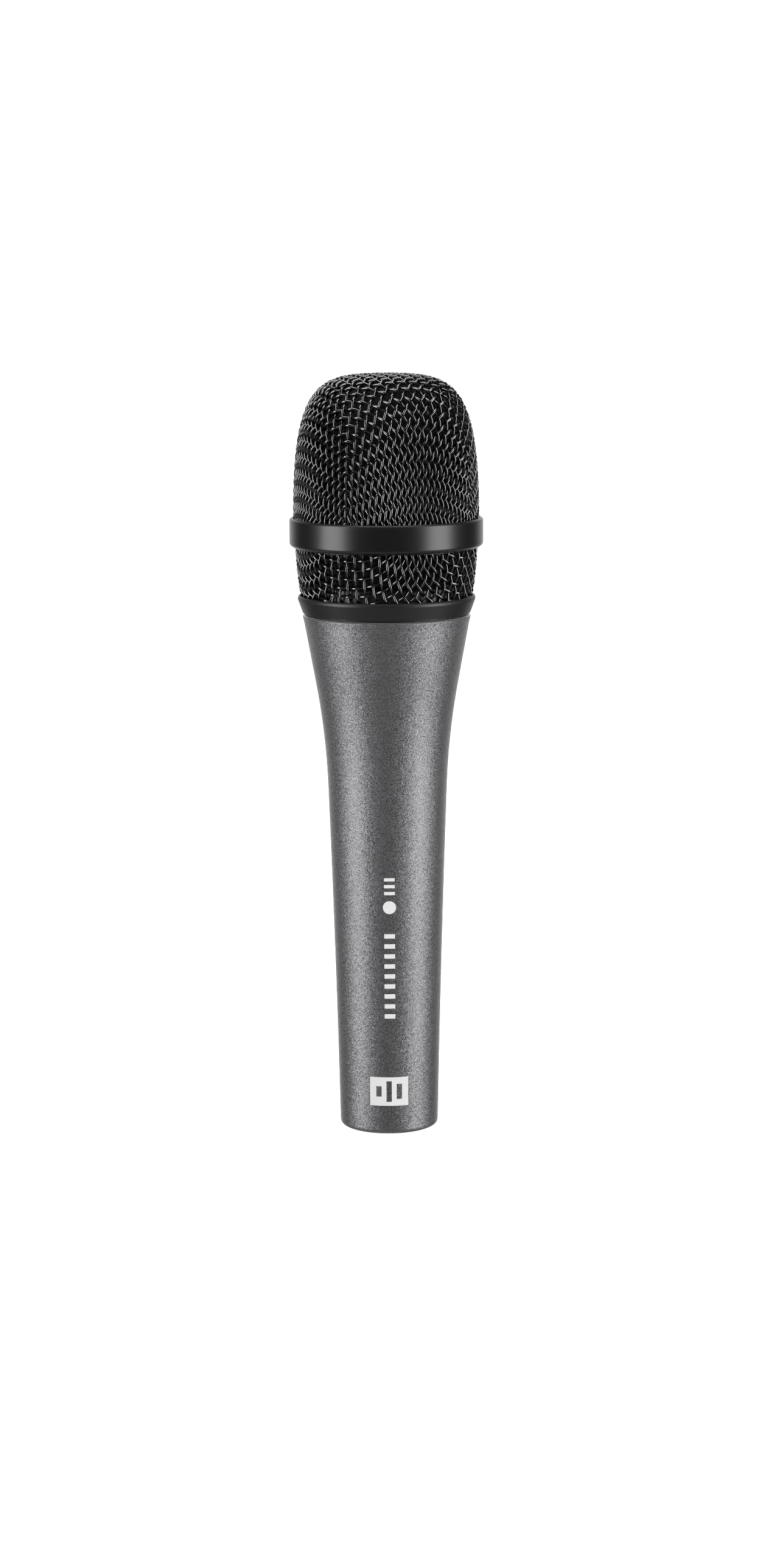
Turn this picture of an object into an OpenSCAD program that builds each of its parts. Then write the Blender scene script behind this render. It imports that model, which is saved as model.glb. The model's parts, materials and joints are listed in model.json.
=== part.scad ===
// Handheld dynamic vocal microphone, standing on its connector end.
// +Z runs from the connector to the grille; -Y is the front. Millimetres.

/* [Overall] */
// Height from the bottom rim to the top of the grille
total_h = 185; // [184:0.5:187]
// Segments of a full circle
round_fn = 96; // [48:16:128]

/* [Handle] */
// Height of the shoulder that the head screws down to
handle_h = 126.9; // [126:0.1:127.2]
// Radius just above the bottom rim
base_r = 12.05; // [12:0.01:12.2]
// Straight part of the handle's growth in radius, per mm of height
taper = 0.0205; // [0.018:0.0005:0.021]
// Curved part of that growth, per mm squared
bow = 0.0001; // [0.00008:0.00001:0.0001]
// Height where the handle starts to flare
flare_from = 85; // [84:0.5:88]
// Height where the flare becomes a straight cone
flare_to = 110; // [108:0.5:112]
// Growth in radius per mm on the flare's straight cone
flare_slope = 0.139; // [0.135:0.001:0.141]
// Wall thickness of the casting
wall_t = 1.8; // [1.6:0.1:1.9]
// Rounding of the bottom rim
rim_round = 1.2; // [0.8:0.1:1.4]

/* [Threaded neck] */
// Radius over the crests of the external thread
thread_r = 18.6; // [18.5:0.05:18.6]
// Depth of the thread
thread_depth = 0.5; // [0.3:0.05:0.6]
// Rise of the head in one turn
thread_pitch = 1.25; // [1.25:0.25:1.25]
// Height of the neck above the shoulder
neck_h = 7.4; // [7.4:0.1:7.6]
// Bore of the neck
neck_bore_r = 16.6; // [16.6:0.05:16.7]
// Running gap between the thread's crests and the head's bore
thread_gap = 0.15; // [0.1:0.05:0.15]

/* [Connector] */
// Bore that the cable's plug slides into
socket_r = 8.1; // [8.05:0.05:8.15]
// Depth of that bore
socket_depth = 15.5; // [15:0.5:16]
// Outside radius of the insulating insert
insert_r = 9.5; // [9.4:0.1:9.5]
// Radius of a contact pin
pin_r = 1.18; // [1.15:0.01:1.2]
// Radius of the circle that the pins stand on
pin_circle_r = 4.95; // [4.9:0.05:5]
// Length of a pin that stands clear of the insert's floor
pin_l = 13.5; // [13:0.5:14]

/* [Head] */
// Radius of the round band between the two grilles
ring_r = 23.4; // [23.2:0.1:23.6]
// Height where the band starts, lip included
ring_z = 143.3; // [143.2:0.1:143.5]
// Height where the band ends
ring_top = 150.4; // [150:0.1:150.6]
// Radius over the upper grille where it leaves the band
grille_r = 22.5; // [22.4:0.05:22.5]
// Height where the upper grille starts to curve in
dome_z = 150.6; // [150.6:0.2:152]
// Half width of the grille's flattened crown
crown_r = 15.2; // [14:0.2:16]
// Thickness of the woven wire, two wires deep
mesh_t = 1.3; // [1.2:0.05:1.3]
// Thickness of the foam behind the wire
foam_t = 2.4; // [2:0.1:2.6]

/* [Capsule] */
// Outside radius of the capsule's housing
capsule_r = 15.8; // [15.6:0.1:15.8]
// Height of the housing's underside
capsule_z = 135; // [135:0.1:135.2]
// Travel of the diaphragm each way
diaphragm_travel = 0.35; // [0.2:0.05:0.35]

/* [Hidden] */

seat_gap = 0.05;                        // gap round a part that seats in another
neck_top = handle_h + neck_h;
washer_t = 0.4;
head_z = handle_h + washer_t + 0.03;    // underside of the head, resting on its washer
thread_turns = 5;
insert_top = 22;
insert_z = 0.4;                         // the insert sits just inside the rim
floor_z = insert_z + socket_depth;      // floor that the plug's nose meets
pin_angles = [25, 155, 270];            // contacts 1, 2 and 3 seen from above
screw_z = 19;
ledge_z = 128.5;                        // ledge in the neck that holds the shock mount
chamber_z = 104;
chamber_r = 13.2;
transformer_z = 52;

// ---------- outlines ----------

function flare(z) =
    let (run = flare_to - flare_from, u = min(max(z - flare_from, 0), run))
    flare_slope * (u * u / (2 * run) + max(z - flare_to, 0));

// Outside radius of the handle at height z
function handle_r(z) = base_r + taper * z + bow * z * z + flare(z);

// Inside radius of the handle at height z
function cavity_r(z) = min(handle_r(z) - wall_t, neck_bore_r);

// Points of an arc, both ends included
function arc(centre, r, from, to, n) = [
    for (i = [0:n])
        let (a = from + (to - from) * i / n)
        centre + r * [cos(a), sin(a)]
];

// Points of a cubic curve, both ends included
function curve(a, b, c, d, n) = [
    for (i = [0:n])
        let (t = i / n, s = 1 - t)
        s * s * s * a + 3 * s * s * t * b + 3 * s * t * t * c + t * t * t * d
];

// Upper half of an outline at distance "inset" inside the upper grille, from z0 up to the axis
function dome(inset, z0, n) =
    let (r = grille_r - inset, top = total_h - inset)
    concat(
        [[r, z0]],
        curve([r, dome_z], [r, top], [crown_r - 0.3 * inset, top], [0, top], n)
    );

// Outside radius of the lower grille at height z
function waist_r(z) = 22.1 - 0.0057 * pow(146 - z, 2);

// ---------- shared shapes ----------

module revolve(outline) {
    rotate_extrude($fn = round_fn)
        polygon(outline);
}

module tube(r_in, r_out, z0, z1) {
    difference() {
        translate([0, 0, z0])
            cylinder(r = r_out, h = z1 - z0, $fn = round_fn);
        translate([0, 0, z0 - 1])
            cylinder(r = r_in, h = z1 - z0 + 2, $fn = round_fn);
    }
}

module disc(r, z0, z1) {
    translate([0, 0, z0])
        cylinder(r = r, h = z1 - z0, $fn = round_fn);
}

// Box centred on the axis in X and Y, or on the given point
module block(size, z0, at = [0, 0]) {
    translate([at[0] - size[0] / 2, at[1] - size[1] / 2, z0])
        cube(size);
}

// Copies of the children spread evenly round the axis
module around(count, start = 0) {
    for (i = [0:count - 1])
        rotate([0, 0, start + i * 360 / count])
            children();
}

// Round wire along a list of points: one ring of corners at each point
module wire(path, r, sides = 8) {
    n = len(path);
    function along(i) = path[min(i + 1, n - 1)] - path[max(i - 1, 0)];
    function unit(v) = v / norm(v);
    rings = [
        for (i = [0:n - 1])
            let (
                t = unit(along(i)),
                u = unit(cross(t, [0.31, 0.95, 0])),
                w = cross(t, u)
            )
            for (k = [0:sides - 1])
                path[i] + r * (cos(360 * k / sides) * u + sin(360 * k / sides) * w)
    ];
    walls = [
        for (i = [0:n - 2], k = [0:sides - 1])
            let (a = i * sides + k, b = i * sides + (k + 1) % sides)
            [b, a, a + sides, b + sides]
    ];
    ends = [
        [for (k = [0:sides - 1]) k],
        [for (k = [sides - 1:-1:0]) (n - 1) * sides + k]
    ];
    polyhedron(rings, concat(walls, ends), convexity = 4);
}

// Smooth path through four guide points
function lead_path(a, b, c, d) = curve(a, b, c, d, 20);

// ---------- handle and what is fixed in it ----------

module handle() {
    step = 3;
    lower = [for (z = [rim_round + step:step:flare_from - step]) [handle_r(z), z]];
    upper = [for (z = [flare_from:2:handle_h - 1]) [handle_r(z), z]];
    edge_r = 0.35;
    shoulder_r = handle_r(handle_h);
    // flat-crested ridges, one for each turn of the thread
    ridge_z = handle_h + 1.1;
    ridges = [
        for (i = [0:thread_turns - 1])
            for (p = [[0, 0], [0.3, 1], [0.5, 1], [0.8, 0]])
                [thread_r - thread_depth * (1 - p[1]), ridge_z + (i + p[0]) * thread_pitch]
    ];
    inside = [for (z = [120:-4:insert_top + 6]) [cavity_r(z), z]];
    step_z = insert_top + 0.5;
    outline = concat(
        [[insert_r + seat_gap, 0]],
        arc([handle_r(0) - rim_round, rim_round], rim_round, -90, 0, 6),
        lower,
        upper,
        arc([shoulder_r - edge_r, handle_h - edge_r], edge_r, 0, 90, 4),
        [[thread_r - thread_depth, handle_h]],
        ridges,
        [
            [thread_r - 0.4, neck_top],
            [neck_bore_r, neck_top],
            [neck_bore_r, ledge_z],
            [neck_bore_r - 1.2, ledge_z],
            [neck_bore_r - 1.2, ledge_z - 2.5],
            [cavity_r(124), 124]
        ],
        inside,
        [
            [cavity_r(step_z + 1), step_z + 1],
            [insert_r + seat_gap, step_z]
        ]
    );
    color("dimgray")
    difference() {
        revolve(outline);
        translate([0, insert_r - 1, screw_z])
            rotate([-90, 0, 0])
                cylinder(r = 1.45, h = 6, $fn = 32);
    }
}

// Insulating connector body: a sleeve round the plug's bore and the floor that holds the pins
module xlr_insert() {
    color([0.07, 0.07, 0.08])
    difference() {
        union() {
            difference() {
                disc(insert_r, insert_z, insert_top);
                disc(socket_r, insert_z - 1, floor_z);
            }
            // keyway rib that sets the plug's turn
            block([2.2, 1.6, socket_depth - 2.5], insert_z + 2.5, [0, -socket_r + 0.3]);
        }
        // window that the plug's latch drops into
        block([4.2, 2, 4], 4.2, [0, socket_r + 0.4]);
        for (a = pin_angles)
            rotate([0, 0, a])
                translate([pin_circle_r, 0, floor_z - 1])
                    cylinder(r = 1.5, h = insert_top - floor_z + 2, $fn = 32);
        translate([0, 7.4, screw_z])
            rotate([-90, 0, 0])
                cylinder(r = 1.45, h = 4, $fn = 32);
    }
}

// Turned contact: rounded nose, plain shank, a thicker waist in the insert and a solder cup behind
module contact_pin(angle) {
    nose = 0.5;
    cup_top = insert_top + 4.2;
    outline = concat(
        [[0, floor_z - pin_l]],
        arc([pin_r - nose, floor_z - pin_l + nose], nose, -90, 0, 4),
        [
            [pin_r, floor_z],
            [1.49, floor_z],
            [1.49, insert_top],
            [1.3, insert_top],
            [1.3, cup_top],
            [0.85, cup_top],
            [0.85, insert_top + 1.2],
            [0, insert_top + 1.2]
        ]
    );
    color("silver")
    rotate([0, 0, angle])
        translate([pin_circle_r, 0, 0])
            rotate_extrude($fn = 32)
                polygon(outline);
}

module contact_pin_1() {
    contact_pin(pin_angles[0]);
}

module contact_pin_2() {
    contact_pin(pin_angles[1]);
}

module contact_pin_3() {
    contact_pin(pin_angles[2]);
}

// Slotted grub screw that locks the insert from the side
module insert_screw() {
    head_y = 11.9;
    color([0.15, 0.15, 0.16])
    difference() {
        translate([0, 7.8, screw_z])
            rotate([-90, 0, 0])
                cylinder(r = 1.4, h = head_y - 7.8, $fn = 32);
        translate([-2, head_y - 0.7, screw_z - 0.25])
            cube([4, 1, 0.5]);
    }
}

// Bronze leaf that carries the shield contact to the handle's wall
module ground_spring() {
    color("goldenrod")
    rotate([0, 0, pin_angles[0] - 60])
        translate([0, 1.5, 0])
            rotate([90, 0, 0])
                linear_extrude(3)
                    polygon([
                        [3.4, insert_top + 0.01], [9.2, insert_top + 0.01], [10.6, insert_top + 4.2],
                        [10.2, insert_top + 4.4], [8.9, insert_top + 0.45], [3.4, insert_top + 0.45]
                    ]);
}

// Three short leads from the transformer to the solder cups
module output_leads() {
    color("darkgreen")
    for (i = [0:2]) {
        a = pin_angles[i];
        cup = [pin_circle_r * cos(a), pin_circle_r * sin(a), insert_top + 1.25];
        end = [3 * sign(cos(a)), 4.1 * sign(sin(a)), transformer_z + 3.05];
        wire(lead_path(cup, cup + [0, 0, 12], end - [0, 0, 14], end), 0.55);
    }
}

// Laminated core: a block with a window each side of the centre leg
module transformer_core() {
    color("slategray")
    difference() {
        block([14, 5, 15], transformer_z);
        for (s = [-1, 1])
            block([3, 7, 9], transformer_z + 3, [3.5 * s, 0]);
    }
}

module transformer_bobbin() {
    color("ivory")
    difference() {
        union() {
            block([5, 6, 8.8], transformer_z + 3.1);
            for (z = [3.1, 11.3])
                block([9.8, 10.6, 0.6], transformer_z + z);
        }
        block([4.02, 5.02, 20], transformer_z - 2);
    }
}

module transformer_winding() {
    color("chocolate")
    difference() {
        linear_extrude_at(transformer_z + 3.75, 7.5)
            offset(r = 1.4, $fn = 32)
                square([6.4, 7.2], center = true);
        block([5.02, 6.02, 20], transformer_z - 2);
    }
}

module linear_extrude_at(z, h) {
    translate([0, 0, z])
        linear_extrude(h)
            children();
}

// Foam sleeve that keeps the transformer from rattling
module transformer_sleeve() {
    color([0.18, 0.18, 0.2])
        tube(9.1, 11.3, transformer_z - 1.5, transformer_z + 17);
}

// Two leads from the capsule's tags down to the transformer
module capsule_leads() {
    color("firebrick")
    for (s = [-1, 1]) {
        tag = [3.5 * s, -0.6, chamber_z - 5.2];
        end = [2.8 * s, -4.1, transformer_z + 11.95];
        wire(lead_path(end, end + [1.5 * s, -1, 14], tag - [-2 * s, 2, 14], tag), 0.5);
    }
}

// Rubber ring that carries the capsule: a foot on the neck's ledge, a web, and a hub under the housing
module shock_mount() {
    foot = neck_bore_r - 0.05;
    hub = chamber_r + 0.05;
    color([0.05, 0.05, 0.05])
    revolve([
        [foot, ledge_z], [foot, ledge_z + 3], [foot - 1.2, ledge_z + 3], [foot - 1.5, ledge_z + 1.4],
        [hub + 1.15, ledge_z + 2.6], [hub + 1.15, capsule_z - 0.03], [hub, capsule_z - 0.03],
        [hub, ledge_z + 0.6], [foot - 1.15, ledge_z]
    ]);
}

// Slotted ring pressed into the neck over the rubber's foot
module mount_ring() {
    r_in = 14.75;
    color([0.55, 0.55, 0.57])
    difference() {
        tube(r_in, neck_bore_r - seat_gap, ledge_z + 3.02, ledge_z + 5);
        for (a = [0, 90])
            rotate([0, 0, a])
                block([40, 2, 2], ledge_z + 4.2);
    }
}

// ---------- head: screws off over the capsule ----------

// Lies back from the surface, so that a dark line shows between the handle and the head
module seal_washer() {
    color([0.03, 0.03, 0.03])
        tube(thread_r + 0.1, handle_r(handle_h) - 0.7, handle_h + 0.01, handle_h + 0.01 + washer_t);
}

module collar() {
    low_r = handle_r(handle_h) + 0.02;
    top_r = 21.52;
    top_z = 131.7;
    bore_r = thread_r + thread_gap;
    groove = [19.72, 20.95];
    groove_z = 129.9;
    inner_top = 134.6;
    color([0.09, 0.09, 0.1])
    revolve(concat(
        [[bore_r + 0.5, head_z], [low_r - 0.25, head_z], [low_r, head_z + 0.25]],
        curve(
            [top_r, top_z - 0.95], [top_r + 0.03, top_z - 0.4],
            [groove[1] + 0.33, top_z], [groove[1], top_z], 8
        ),
        [
            [groove[1], groove_z],
            [groove[0], groove_z],
            [groove[0], inner_top - 0.3],
            [groove[0] - 0.3, inner_top],
            [bore_r, inner_top],
            [bore_r, head_z + 0.5]
        ]
    ));
}

// Lower band of woven wire, as the space between its inner and outer crests
module lower_mesh() {
    z0 = 129.95;
    z1 = 146.3;
    n = 8;
    zs = [for (i = [0:n]) z0 + (z1 - z0) * i / n];
    color([0.1, 0.1, 0.1])
    revolve(concat(
        [for (z = zs) [waist_r(z), z]],
        [for (i = [n:-1:0]) [max(waist_r(zs[i]) - mesh_t, 19.75), zs[i]]]
    ));
}

// Raised band that covers the joint between the two grilles, sloping in to a lip under it
module mid_ring() {
    corner = 0.7;
    lip_r = waist_r(ring_z) + 0.15;
    lip_w = 0.15;
    color([0.1, 0.1, 0.11])
    revolve(concat(
        [[lip_r, ring_z], [lip_r + lip_w, ring_z]],
        curve(
            [lip_r + lip_w, ring_z + 0.05], [lip_r + lip_w + 0.6, ring_z + 0.4],
            [ring_r, ring_z + 0.62], [ring_r, ring_z + 1.25], 8
        ),
        arc([ring_r - corner, ring_top - corner], corner, 0, 90, 6),
        [[grille_r + 0.02, ring_top], [grille_r + 0.02, ring_z + 1.2], [lip_r, ring_z + 1]]
    ));
}

// Hoop inside the grilles; its flange lies between them
module inner_hoop() {
    color([0.5, 0.5, 0.52])
    union() {
        tube(19.9, 20.7, 142.5, 151.5);
        tube(20.5, grille_r, 146.35, 146.85);
    }
}

// Upper grille of woven wire, as the space between its inner and outer crests
module upper_mesh() {
    z0 = 146.9;
    outer = dome(0, z0, 20);
    inner = dome(mesh_t, z0, 20);
    color([0.1, 0.1, 0.1])
    revolve(concat(outer, [for (i = [len(inner) - 1:-1:0]) inner[i]]));
}

// Foam basket that lines both grilles
module foam_liner() {
    gap = 0.05;
    z0 = 135.4;
    waist = 19.85;
    lower_outer = [for (z = [z0:2:142.1]) [waist_r(z) - mesh_t - gap, z]];
    lower_inner = [for (z = [141:-2:z0]) [17.6, z]];
    outer = dome(mesh_t + gap, 152.6, 16);
    inner = dome(mesh_t + gap + foam_t, 153.5, 16);
    color([0.06, 0.06, 0.06])
    revolve(concat(
        lower_outer,
        [[waist, 142.3], [waist, 151.7]],
        outer,
        [for (i = [len(inner) - 1:-1:0]) inner[i]],
        [[17.6, 151.5]],
        lower_inner,
        [[17.6, z0]]
    ));
}

// ---------- capsule: floats on the shock mount ----------

// Closed cup of air behind the motor, reaching down into the neck
module rear_chamber() {
    wall = 1.2;
    color([0.12, 0.12, 0.13])
    difference() {
        disc(chamber_r, chamber_z, capsule_z);
        disc(chamber_r - wall, chamber_z + wall, capsule_z + 1);
    }
}

module terminal_board() {
    color([0.45, 0.3, 0.12])
    difference() {
        disc(8, chamber_z - 1.2, chamber_z);
        for (s = [-1, 1])
            block([2.2, 0.7, 4], chamber_z - 3, [3.5 * s, 0]);
    }
}

module solder_tags() {
    color("gold")
    for (s = [-1, 1])
        block([2.15, 0.5, 5], chamber_z - 5.1, [3.5 * s, 0]);
}

// Cup that holds the motor, with rear ports round its foot
module capsule_housing() {
    wall = 1.2;
    top = 161.3;
    color([0.1, 0.1, 0.1])
    difference() {
        disc(capsule_r, capsule_z + 0.01, top);
        disc(capsule_r - wall, capsule_z + 1.5, top + 1);
        disc(4, capsule_z - 1, capsule_z + 3);
        around(8, 22.5)
            block([8, 5, 4], capsule_z + 3.5, [capsule_r, 0]);
    }
}

// Silk band that covers the rear ports from inside
module port_cloth() {
    color([0.35, 0.35, 0.33])
        tube(capsule_r - 1.45, capsule_r - 1.21, capsule_z + 1.6, capsule_z + 11.8);
}

// Perforated web that centres the magnet in the housing
module motor_frame() {
    color([0.16, 0.16, 0.17])
    difference() {
        tube(10.51, capsule_r - 1.21, 154.5, 157);
        around(8)
            translate([12.5, 0, 153])
                cylinder(r = 1.1, h = 6, $fn = 24);
    }
}

// Soft-iron cup that carries the field round to the gap
module magnet_cup() {
    color([0.62, 0.63, 0.65])
    difference() {
        disc(10.5, 147.5, 158);
        disc(8.6, 150, 159);
    }
}

module magnet() {
    color([0.4, 0.4, 0.42])
        disc(6.1, 150.01, 157.5);
}

module pole_piece() {
    color([0.68, 0.69, 0.71])
        disc(6.3, 157.51, 161);
}

// Soft-iron washer round the pole piece; the coil moves in the gap between them
module top_plate() {
    color([0.66, 0.67, 0.69])
        tube(7.25, 10.5, 158.01, 161);
}

// Felt washer that damps the holes of the motor frame
module damping_felt() {
    color("beige")
        tube(10.6, capsule_r - 1.25, 157.01, 158);
}

// Brass ring that seats on the housing and surrounds the diaphragm
module diaphragm_ring() {
    color("goldenrod")
    difference() {
        tube(12.2, capsule_r, 161.31, 162.5);
        around(6, 30)
            translate([13.9, 0, 160])
                cylinder(r = 0.8, h = 4, $fn = 24);
    }
}

module front_cloth() {
    color([0.3, 0.3, 0.3])
        disc(14.9, 165.75, 166.1);
}

// Perforated cap that shields the diaphragm
module front_cap() {
    skirt_r = 16.5;
    top = 167.2;
    color([0.72, 0.62, 0.38])
    difference() {
        disc(skirt_r, 158.5, top);
        disc(capsule_r + 0.02, 157, 162.6);
        disc(15, 162, 166.12);
        disc(1.3, 165, 168);
        for (ring = [[6, 4.6], [12, 8.6], [18, 12.4]])
            around(ring[0])
                translate([ring[1], 0, 165])
                    cylinder(r = 1.2, h = 4, $fn = 24);
    }
}

// ---------- moving coil ----------

// Thin film: a centre dome inside a rolled surround
module diaphragm() {
    film = 0.15;
    rest_z = 163;
    coil_r = 6.8;
    rim_r = 13.4;
    dome_h = 1.7;
    roll_h = 0.9;
    n = 10;
    // height of the film above its rest plane at radius r
    function film_z(r) = r < coil_r
        ? dome_h * cos(90 * r / coil_r)
        : roll_h * sin(180 * (r - coil_r) / (rim_r - coil_r));
    inner = [for (i = [0:n]) coil_r * i / n];
    outer = [for (i = [1:n]) coil_r + (rim_r - coil_r) * i / n];
    radii = concat(inner, outer, [rim_r + 0.8]);
    last = len(radii) - 1;
    function height(i) = rest_z + (i == last ? 0 : film_z(radii[i]));
    color([0.85, 0.8, 0.6, 0.8])
    revolve(concat(
        [for (i = [0:last]) [radii[i], height(i)]],
        [for (i = [last:-1:0]) [radii[i], height(i) + film]]
    ));
}

module voice_coil() {
    color("peru")
        tube(6.62, 6.95, 157.9, 162.99);
}

handle();
xlr_insert();
contact_pin_1();
contact_pin_2();
contact_pin_3();
insert_screw();
ground_spring();
output_leads();
transformer_core();
transformer_bobbin();
transformer_winding();
transformer_sleeve();
capsule_leads();
shock_mount();
mount_ring();
seal_washer();
collar();
lower_mesh();
mid_ring();
inner_hoop();
upper_mesh();
foam_liner();
rear_chamber();
terminal_board();
solder_tags();
capsule_housing();
port_cloth();
motor_frame();
magnet_cup();
magnet();
pole_piece();
top_plate();
damping_felt();
diaphragm_ring();
front_cloth();
front_cap();
diaphragm();
voice_coil();
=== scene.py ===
import json
import math

import bpy
import numpy as np
from mathutils import Matrix, Vector


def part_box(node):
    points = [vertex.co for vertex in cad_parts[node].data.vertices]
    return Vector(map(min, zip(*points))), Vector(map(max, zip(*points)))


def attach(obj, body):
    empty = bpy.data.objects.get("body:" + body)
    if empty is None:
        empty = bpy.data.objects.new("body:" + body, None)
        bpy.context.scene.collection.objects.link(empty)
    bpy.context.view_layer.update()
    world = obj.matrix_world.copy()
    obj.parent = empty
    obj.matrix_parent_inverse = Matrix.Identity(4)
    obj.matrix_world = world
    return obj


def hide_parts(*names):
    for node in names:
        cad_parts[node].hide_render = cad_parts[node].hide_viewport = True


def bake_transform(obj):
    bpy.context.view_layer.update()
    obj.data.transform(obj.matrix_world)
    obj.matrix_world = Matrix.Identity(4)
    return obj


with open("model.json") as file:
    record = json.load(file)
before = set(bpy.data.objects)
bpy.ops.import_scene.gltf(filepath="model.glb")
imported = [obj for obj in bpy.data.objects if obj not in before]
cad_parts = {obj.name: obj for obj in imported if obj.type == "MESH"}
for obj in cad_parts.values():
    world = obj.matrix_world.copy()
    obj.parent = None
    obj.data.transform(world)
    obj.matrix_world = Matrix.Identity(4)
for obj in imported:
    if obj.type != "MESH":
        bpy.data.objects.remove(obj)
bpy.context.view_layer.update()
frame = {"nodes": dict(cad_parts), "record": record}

# A handheld dynamic microphone: the looks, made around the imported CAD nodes. Metres throughout.

MM = 0.001

# ---------------------------------------------------------------- places taken from the frame

UPPER_LOW, UPPER_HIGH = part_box("upper_mesh")
LOWER_LOW, LOWER_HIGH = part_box("lower_mesh")
TOP_Z = UPPER_HIGH.z
GRILLE_R = UPPER_HIGH.x
UPPER_FOOT_Z = UPPER_LOW.z

# ---------------------------------------------------------------- sizes of the grilles

WIRE_R = 0.33 * MM               # radius of one wire
WEAVE_HALF = 2 * WIRE_R          # half the depth of the weave, two wires deep
WIRE_PITCH = 2.15 * MM           # spacing of the wires in the flat cloth
LOCK_GAP = 1.35 * MM             # the closest that crossing points come when the cloth shears
WEAVE_TURN = math.radians(-26)   # turn about +Z of the meridian that the wires line up with
DOME_Z = 150.6 * MM              # where the upper grille starts to curve in
CROWN_R = 15.2 * MM              # half width of its flattened crown
CUP_BASE_Z = 130.0 * MM          # flat base that the lower grille's cloth is drawn over
CUP_CORNER = 4.5 * MM            # height of the rounded corner above that base
WALL_BASE_Z = 129.0 * MM         # the same two for the wall that the cloth is then pressed out to
WALL_CORNER = 3.3 * MM
FORM_END_Z = 155 * MM            # how far up that wall goes
DOME_END_Z = 130 * MM            # how far down the upper grille's form goes
DOME_CENTRE_Z = 152 * MM         # points on the axis that the two forms are measured from
CUP_CENTRE_Z = 138.5 * MM
EDGE_PULL = 0.05                 # share of a link's error that each of its ends makes up in one round
CELL_PUSH = 0.25                 # the same across a cell that has sheared past LOCK_GAP

# ---------------------------------------------------------------- places on the handle, and the lights' aim

AIM = Vector((0, 0, 0.1))        # what the lights point at
SHOULDER_Z = 126.9 * MM          # top edge of the handle, where a lighter band is painted on as a highlight
MARK_X = 0.3 * MM                # middle of the printed bars and dot


def clear_scene():
    for name in ("Cube", "Light", "Camera"):
        if name in bpy.data.objects:
            bpy.data.objects.remove(bpy.data.objects[name])


def new_object(name, mesh):
    piece = bpy.data.objects.new(name, mesh)
    bpy.context.scene.collection.objects.link(piece)
    return piece


def mesh_from_arrays(name, points, quads, caps=()):
    """A smooth-shaded mesh from an array of points, an array of quads and a few larger faces."""
    mesh = bpy.data.meshes.new(name)
    faces = [tuple(q) for q in quads.tolist()] + [tuple(c) for c in caps]
    mesh.from_pydata(points.tolist(), [], faces)
    mesh.polygons.foreach_set("use_smooth", [True] * len(mesh.polygons))
    mesh.update()
    return mesh


# ---------------------------------------------------------------- curved outlines, as (r, z) arrays

def bezier(a, b, c, d, count):
    t = np.linspace(0, 1, count)[:, None]
    s = 1 - t
    return s**3 * np.array(a) + 3 * s * s * t * np.array(b) + 3 * s * t * t * np.array(c) + t**3 * np.array(d)


def dome_outline(inset, foot_z):
    """From the axis over the crown and down to foot_z, the given depth inside the upper grille."""
    r, top = GRILLE_R - inset, TOP_Z - inset
    crown = CROWN_R - 0.3 * inset
    wall = [(r, z) for z in np.linspace(DOME_Z, foot_z, 60)[1:]]
    return np.vstack([bezier((0, top), (crown, top), (r, top), (r, DOME_Z), 160), wall])


def waist_r(z):
    """Outside radius of the lower grille at height z."""
    top_r, top_z, curve = 22.1 * MM, 146 * MM, 5.7
    return top_r - curve * (top_z - z) ** 2


def cup_outline(inset, base_z, corner, top_z):
    """From the axis along a flat base, round a corner and up the wall of the lower grille."""
    wall_z = base_z + corner
    wall_r = waist_r(wall_z) - inset
    ease = 0.55 * corner
    turn = bezier(
        (wall_r - 1.1 * corner, base_z), (wall_r - 1.1 * corner + ease, base_z),
        (wall_r - 0.1 * ease, wall_z - ease), (wall_r, wall_z), 40
    )
    base = [(r, base_z) for r in np.linspace(0, turn[0, 0], 40)[:-1]]
    rise = [(waist_r(z) - inset, z) for z in np.linspace(wall_z, top_z, 60)[1:]]
    return np.vstack([base, turn, rise])


# ---------------------------------------------------------------- woven wire cloth drawn over a form

class Form:
    """A surface of revolution, known by its distance from a centre on the axis at each angle."""

    def __init__(self, outline, centre_z, up):
        r, h = outline[:, 0], (outline[:, 1] - centre_z) * up
        self.centre_z, self.up = centre_z, up
        self.angles, self.reach = np.arctan2(r, h), np.hypot(r, h)

    def off(self, p):
        """Distance of the point p outside the surface, measured from the centre."""
        r, h = math.hypot(p[0], p[1]), (p[2] - self.centre_z) * self.up
        return math.hypot(r, h) - np.interp(math.atan2(r, h), self.angles, self.reach)

    def slope(self, p):
        step = 1e-7
        return np.array([(self.off(p + d) - self.off(p - d)) / (2 * step) for d in np.eye(3) * step])

    def onto(self, points):
        """The points moved to the surface along their lines from the centre."""
        r, h = np.hypot(points[:, 0], points[:, 1]), (points[:, 2] - self.centre_z) * self.up
        scale = np.interp(np.arctan2(r, h), self.angles, self.reach) / np.hypot(r, h)
        return np.column_stack([
            points[:, 0] * scale, points[:, 1] * scale, self.centre_z + self.up * h * scale
        ])

    def normals(self, points):
        """Outward normals at an array of points on the surface."""
        middle = (self.angles[1:] + self.angles[:-1]) / 2
        along = np.gradient(self.reach, self.angles)
        r, h = np.hypot(points[:, 0], points[:, 1]), (points[:, 2] - self.centre_z) * self.up
        angle = np.arctan2(r, h)
        reach = np.interp(angle, self.angles, self.reach)
        bend = np.interp(angle, middle, (along[1:] + along[:-1]) / 2)
        radial = reach * np.sin(angle) - bend * np.cos(angle)
        axial = (reach * np.cos(angle) + bend * np.sin(angle)) * self.up
        safe = np.maximum(r, 1e-9)
        normal = np.column_stack([points[:, 0] / safe * radial, points[:, 1] / safe * radial, axial])
        return normal / np.linalg.norm(normal, axis=1)[:, None]


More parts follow.
